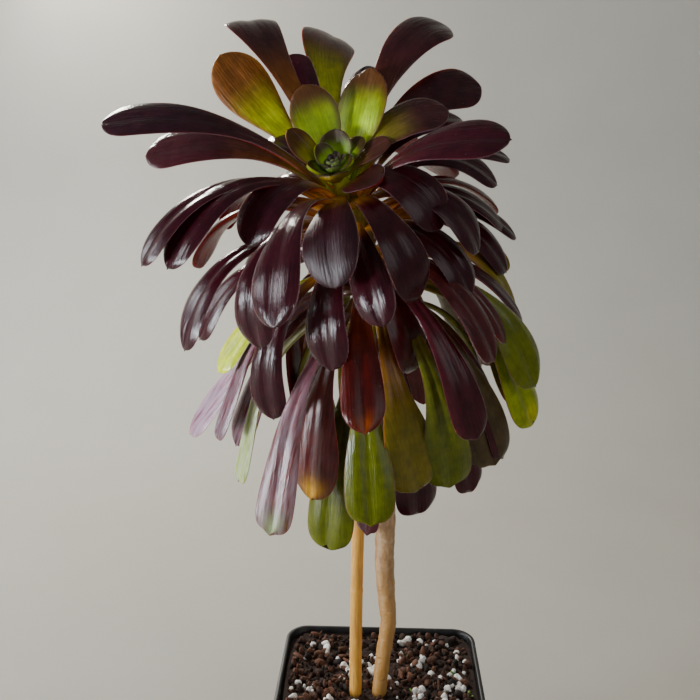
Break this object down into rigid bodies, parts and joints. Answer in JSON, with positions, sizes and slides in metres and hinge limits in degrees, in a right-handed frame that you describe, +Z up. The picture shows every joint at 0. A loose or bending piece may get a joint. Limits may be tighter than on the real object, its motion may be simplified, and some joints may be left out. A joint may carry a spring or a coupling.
{
  "type": "potted aeonium",
  "caption": "Tall potted succulent: a round head of spoon-shaped leaves on a bare stem, with a cane beside it, in a square plastic pot of bark and perlite.",
  "frame": {"origin": "centre of the pot's flat base, where it meets the surface", "axes": "+Z up, -Y to the front, where the young leaves of the head face the viewer, +X to the right as seen from the front"},
  "size_m": [0.1879, 0.1581, 0.4144],
  "materials": {
    "pot_plastic": "satin",
    "potting_mix": "matte",
    "cane_skin": "satin",
    "stem_bark": "matte",
    "leaf_skin": "gloss"
  },
  "bodies": {
    "root": {"pot": "pot_plastic", "soil": "potting_mix", "cane": "cane_skin", "stem": "stem_bark", "foliage": "leaf_skin"}
  },
  "joints": []
}
